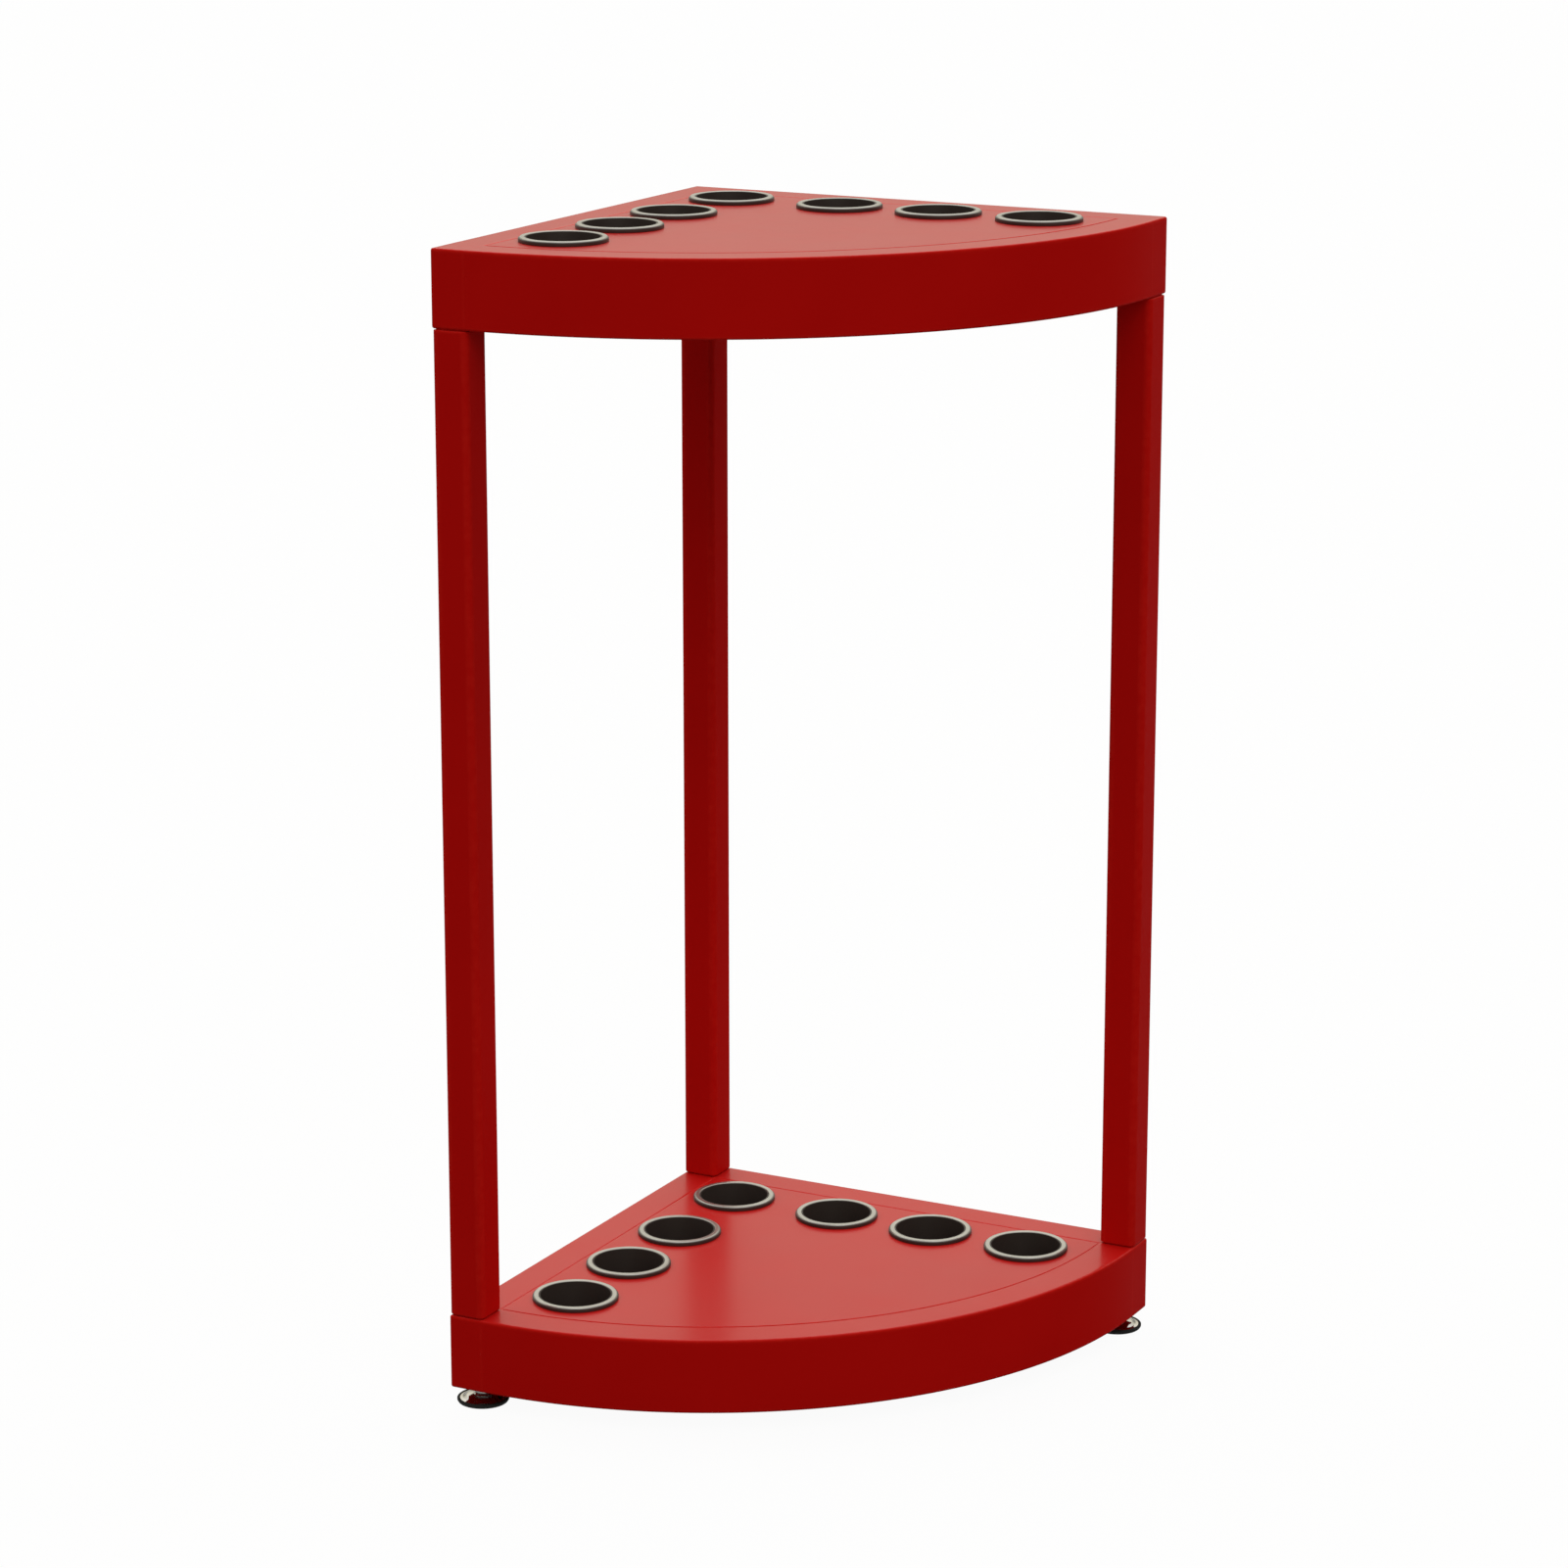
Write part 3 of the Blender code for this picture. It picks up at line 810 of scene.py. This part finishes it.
def uprights(paint):
    """Square uprights between the decks, narrower at the very ends."""
    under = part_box("lower_back_rail")[1].z
    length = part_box("upper_back_rail")[0].z - under
    body = bar_stations(length - 2 * NECK_HEIGHT, UPRIGHT_EASE, UPRIGHT_EASE)
    body = [(NECK_HEIGHT + distance, inset) for distance, inset in body]
    neck = [(0.0, NECK_INSET), (NECK_HEIGHT, NECK_INSET)]
    top = [(length - distance, inset) for distance, inset in reversed(neck)]
    stations = neck + body[1:-1] + top
    for corner in CORNERS:
        _, _, middle, size = span(f"{corner}_post")

        def along(distance, across, up):
            return middle.x + across, middle.y + up, under + distance

        mesh = swept(f"{corner}_upright", stations, size.x, size.y, UPRIGHT_CORNER, along)
        piece(f"{corner}_upright", mesh, "frame", paint, [f"{corner}_post"])


# Feet

def thread_rings(radius, low, high):
    """Rings of a screw thread, which runs out at both ends."""
    rows = round((high - low) / PITCH * THREAD_ROWS)
    rings = []
    for row in range(rows + 1):
        z = low + (high - low) * row / rows
        fade = min(1.0, (z - low) / PITCH, (high - z) / PITCH)
        ring = []
        for step in range(THREAD_STEPS):
            turn = 2 * math.pi * step / THREAD_STEPS
            phase = (z / PITCH - step / THREAD_STEPS) % 1.0
            crest = min(1.0, max(0.0, THREAD_FLANK * abs(2 * phase - 1) - THREAD_ROOT))
            deep = radius - THREAD_DEPTH * (1 - crest * fade)
            ring.append((deep * math.cos(turn), deep * math.sin(turn), z))
        rings.append(ring)
    return rings


def hex_rings(low, high):
    """Rings of a hexagon with its corners turned down at both faces."""
    sixth = math.pi / 3
    rings = []
    for share in HEX_LEVELS:
        z = low + (high - low) * share
        cone = HEX_FLATS / 2 * HEX_FACE + min(z - low, high - z) * HEX_SLOPE
        ring = []
        for step in range(HEX_STEPS):
            turn = 2 * math.pi * step / HEX_STEPS
            off_flat = (turn + sixth / 2) % sixth - sixth / 2
            radius = min(HEX_FLATS / 2 / math.cos(off_flat), cone)
            ring.append((radius * math.cos(turn), radius * math.sin(turn), z))
        rings.append(ring)
    return rings


def foot_screw(low, hex_low, high):
    """Pin, hexagon and threaded shank, as one closed body."""
    hex_high = hex_low + HEX_HEIGHT
    head = [circle(PIN_RADIUS, low, HEX_STEPS), circle(PIN_RADIUS, hex_low, HEX_STEPS)]
    head += hex_rings(hex_low, hex_high)
    head.append(circle(SCREW_RADIUS, hex_high, HEX_STEPS))
    shank = thread_rings(SCREW_RADIUS, hex_high, high - SCREW_TIP)
    shank.append(circle(SCREW_RADIUS - SCREW_TIP_INSET, high, THREAD_STEPS))
    bm = bmesh.new()
    head, shank = chain(bm, head), chain(bm, shank)
    bm.faces.new(head[0])
    bm.faces.new(shank[-1])
    wide, narrow = head[-1], shank[0]
    for i, vert in enumerate(narrow):
        beside = [wide[(HEX_SHARE * i + k) % HEX_STEPS] for k in reversed(range(HEX_SHARE + 1))]
        bm.faces.new((vert, narrow[(i + 1) % THREAD_STEPS], *beside))
    return finish_mesh("foot_screw", bm)


def foot_dish(edge, lip_top, under, top):
    """Plated dish with a boss round the screw's pin, hollowed towards its edge."""
    return turned("foot_dish", [
        (DISH_BORE, under, 0.0),
        (DISH_BORE, top, DISH_BORE_EDGE),
        (BOSS_RADIUS, top, BOSS_EDGE),
        (BOSS_RADIUS + BOSS_FLARE, top - BOSS_HEIGHT, BOSS_EDGE),
        (CROWN_RADIUS, top - CROWN_DROP, CROWN_EDGE),
        (edge - DISH_FLARE, lip_top - DISH_SUNK, DISH_FLARE),
        (edge, lip_top - DISH_EDGE, DISH_EDGE),
        (edge, under, 0.0),
    ], FOOT_STEPS, wrap=True)


def foot_sole(rim, lip_top, top):
    """Rubber sole with a grooved tread and a lip that comes up round the dish."""
    tread = [(SOLE_CENTRE, 0.0, 0.0)]
    for radius in SOLE_GROOVES:
        tread += [
            (radius, 0.0, GROOVE_EDGE),
            (radius + GROOVE_SLOPE, GROOVE_DEPTH, GROOVE_EDGE),
            (radius + GROOVE_WIDTH - GROOVE_SLOPE, GROOVE_DEPTH, GROOVE_EDGE),
            (radius + GROOVE_WIDTH, 0.0, GROOVE_EDGE),
        ]
    return turned("foot_sole", tread + [
        (rim - SOLE_BEVEL, 0.0, TREAD_EDGE),
        (rim, SOLE_BEVEL_HEIGHT, SOLE_BEVEL_EDGE),
        (rim, lip_top - LIP_BEVEL_HEIGHT, LIP_BEVEL_EDGE),
        (rim - LIP_BEVEL, lip_top, LIP_EDGE),
        (rim - SOLE_LIP, lip_top, LIP_EDGE),
        (rim - SOLE_LIP, top, SOLE_SEAT_EDGE),
        (SOLE_CENTRE, top, 0.0),
    ], FOOT_STEPS)


def feet(steel, plate, rubber):
    """Under each upright: a plated dish in a rubber sole, and a screw with a hexagon for a spanner."""
    base_low, base_high, _, base_size = span("back_foot_base")
    pad_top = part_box("back_foot_pad")[1].z
    stud_low, stud_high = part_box("back_foot_stud")
    rim = base_size.x / 2
    lip_top = base_low.z + LIP_RISE
    dish = foot_dish(rim - SOLE_LIP - SEAT, lip_top, pad_top + SEAT, base_high.z)
    sole = foot_sole(rim, lip_top, pad_top)
    screw = foot_screw(stud_low.z, base_high.z + HEX_LIFT, stud_high.z)
    for corner in CORNERS:
        foot, stud = f"{corner}_foot", f"{corner}_stud"
        axis = span(f"{foot}_base")[2]
        place = (axis.x, axis.y, 0.0)
        piece(f"{foot}_dish", dish, foot, plate, [f"{foot}_base"], place)
        piece(f"{foot}_sole", sole, foot, rubber, [f"{foot}_pad"], place)
        piece(f"{foot}_screw", screw, stud, steel, [f"{foot}_stud"], place)
        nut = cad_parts[f"{foot}_nut"]
        nut.data.materials.clear()
        nut.data.materials.append(steel)


# Floor, light and camera

def floor():
    """Plain pale floor, white to the eye and in the plating, which keeps the stand's shadow."""
    bm = bmesh.new()
    bmesh.ops.create_circle(bm, cap_ends=True, radius=FLOOR_RADIUS, segments=FLOOR_STEPS)
    mesh = bpy.data.meshes.new("floor")
    bm.to_mesh(mesh)
    bm.free()
    ground = bpy.data.objects.new("floor", mesh)
    bpy.context.scene.collection.objects.link(ground)
    white = Finish(bpy.data.materials.new("pale_floor"))
    path = white.node("ShaderNodeLightPath")
    eye, mirror, glass = white.outputs(path, ("Is Camera Ray", "Is Glossy Ray", "Is Transmission Ray"))
    dim = white.node("ShaderNodeBsdfDiffuse", None, {"Color": grey(FLOOR_DIM)})
    pale = white.node("ShaderNodeBsdfDiffuse", None, {"Color": grey(FLOOR_PALE)})
    glow = white.node("ShaderNodeEmission", None, {"Color": grey(1.0), "Strength": 1.0})
    bright = white.node("ShaderNodeMixShader", None, {0: FLOOR_WHITE, 1: pale, 2: glow})
    shader = white.node("ShaderNodeMixShader", None, {0: eye + mirror + glass, 1: dim, 2: bright})
    mesh.materials.append(white.surface(shader))
    mesh.materials[0].cycles.emission_sampling = "NONE"


def light():
    """Even studio light from above, brighter behind the stand than in front, and a soft main light."""
    world = bpy.data.worlds.new("studio")
    bpy.context.scene.world = world
    sky = Finish(world)
    x, y, z = sky.axes(sky.node("ShaderNodeTexCoord", output="Generated"))
    stops = [(height, rgb(*colour)) for height, colour in SKY_STOPS]
    tone = sky.node("ShaderNodeValToRGB", {"stops": stops}, {0: z})
    front = x * math.sin(VIEW_ROUND) - y * math.cos(VIEW_ROUND)
    right = x * math.cos(VIEW_ROUND) + y * math.sin(VIEW_ROUND)
    depth = sky.span(front, BEHIND_END, FRONT_START, 1.0, FRONT_LEVEL)
    even = depth * (MIDDLE_LEVEL - right * (RIGHT_LOSS + right * SIDE_LOSS))
    forward = math.cos(KEY_ROUND) * math.cos(KEY_UP)
    sideways = math.sin(KEY_ROUND) * math.cos(KEY_UP)
    key = front * forward + right * sideways + z * math.sin(KEY_UP)
    level = even + sky.span(key, KEY_RIM, KEY_HEART, 0.0, KEY_LEVEL)
    back = sky.node("ShaderNodeBackground", None, {"Color": tone, "Strength": level})
    sky.node("ShaderNodeOutputWorld", None, {"Surface": back})


def camera():
    """Camera at the photograph's distance and angle."""
    data = bpy.data.cameras.new("camera")
    data.lens = VIEW_LENS
    data.sensor_width = VIEW_SENSOR
    eye = bpy.data.objects.new("camera", data)
    bpy.context.scene.collection.objects.link(eye)
    away = Vector((
        math.sin(VIEW_ROUND) * math.cos(VIEW_UP),
        -math.cos(VIEW_ROUND) * math.cos(VIEW_UP),
        math.sin(VIEW_UP),
    ))
    eye.location = Vector(VIEW_AIM) + away * VIEW_DISTANCE
    eye.rotation_euler = away.to_track_quat("Z", "Y").to_euler()
    bpy.context.scene.camera = eye


def main():
    bpy.context.scene.view_settings.view_transform = "Standard"
    camera()
    floor()
    light()
    paint = red_paint()
    for level in DECKS:
        deck_tubes(level, paint)
        deck_bars(level, paint)
        deck_sheet(level, paint)
    uprights(paint)
    sockets(black_plastic(), satin_metal())
    feet(zinc_steel(), bright_plate(), black_rubber())


main()
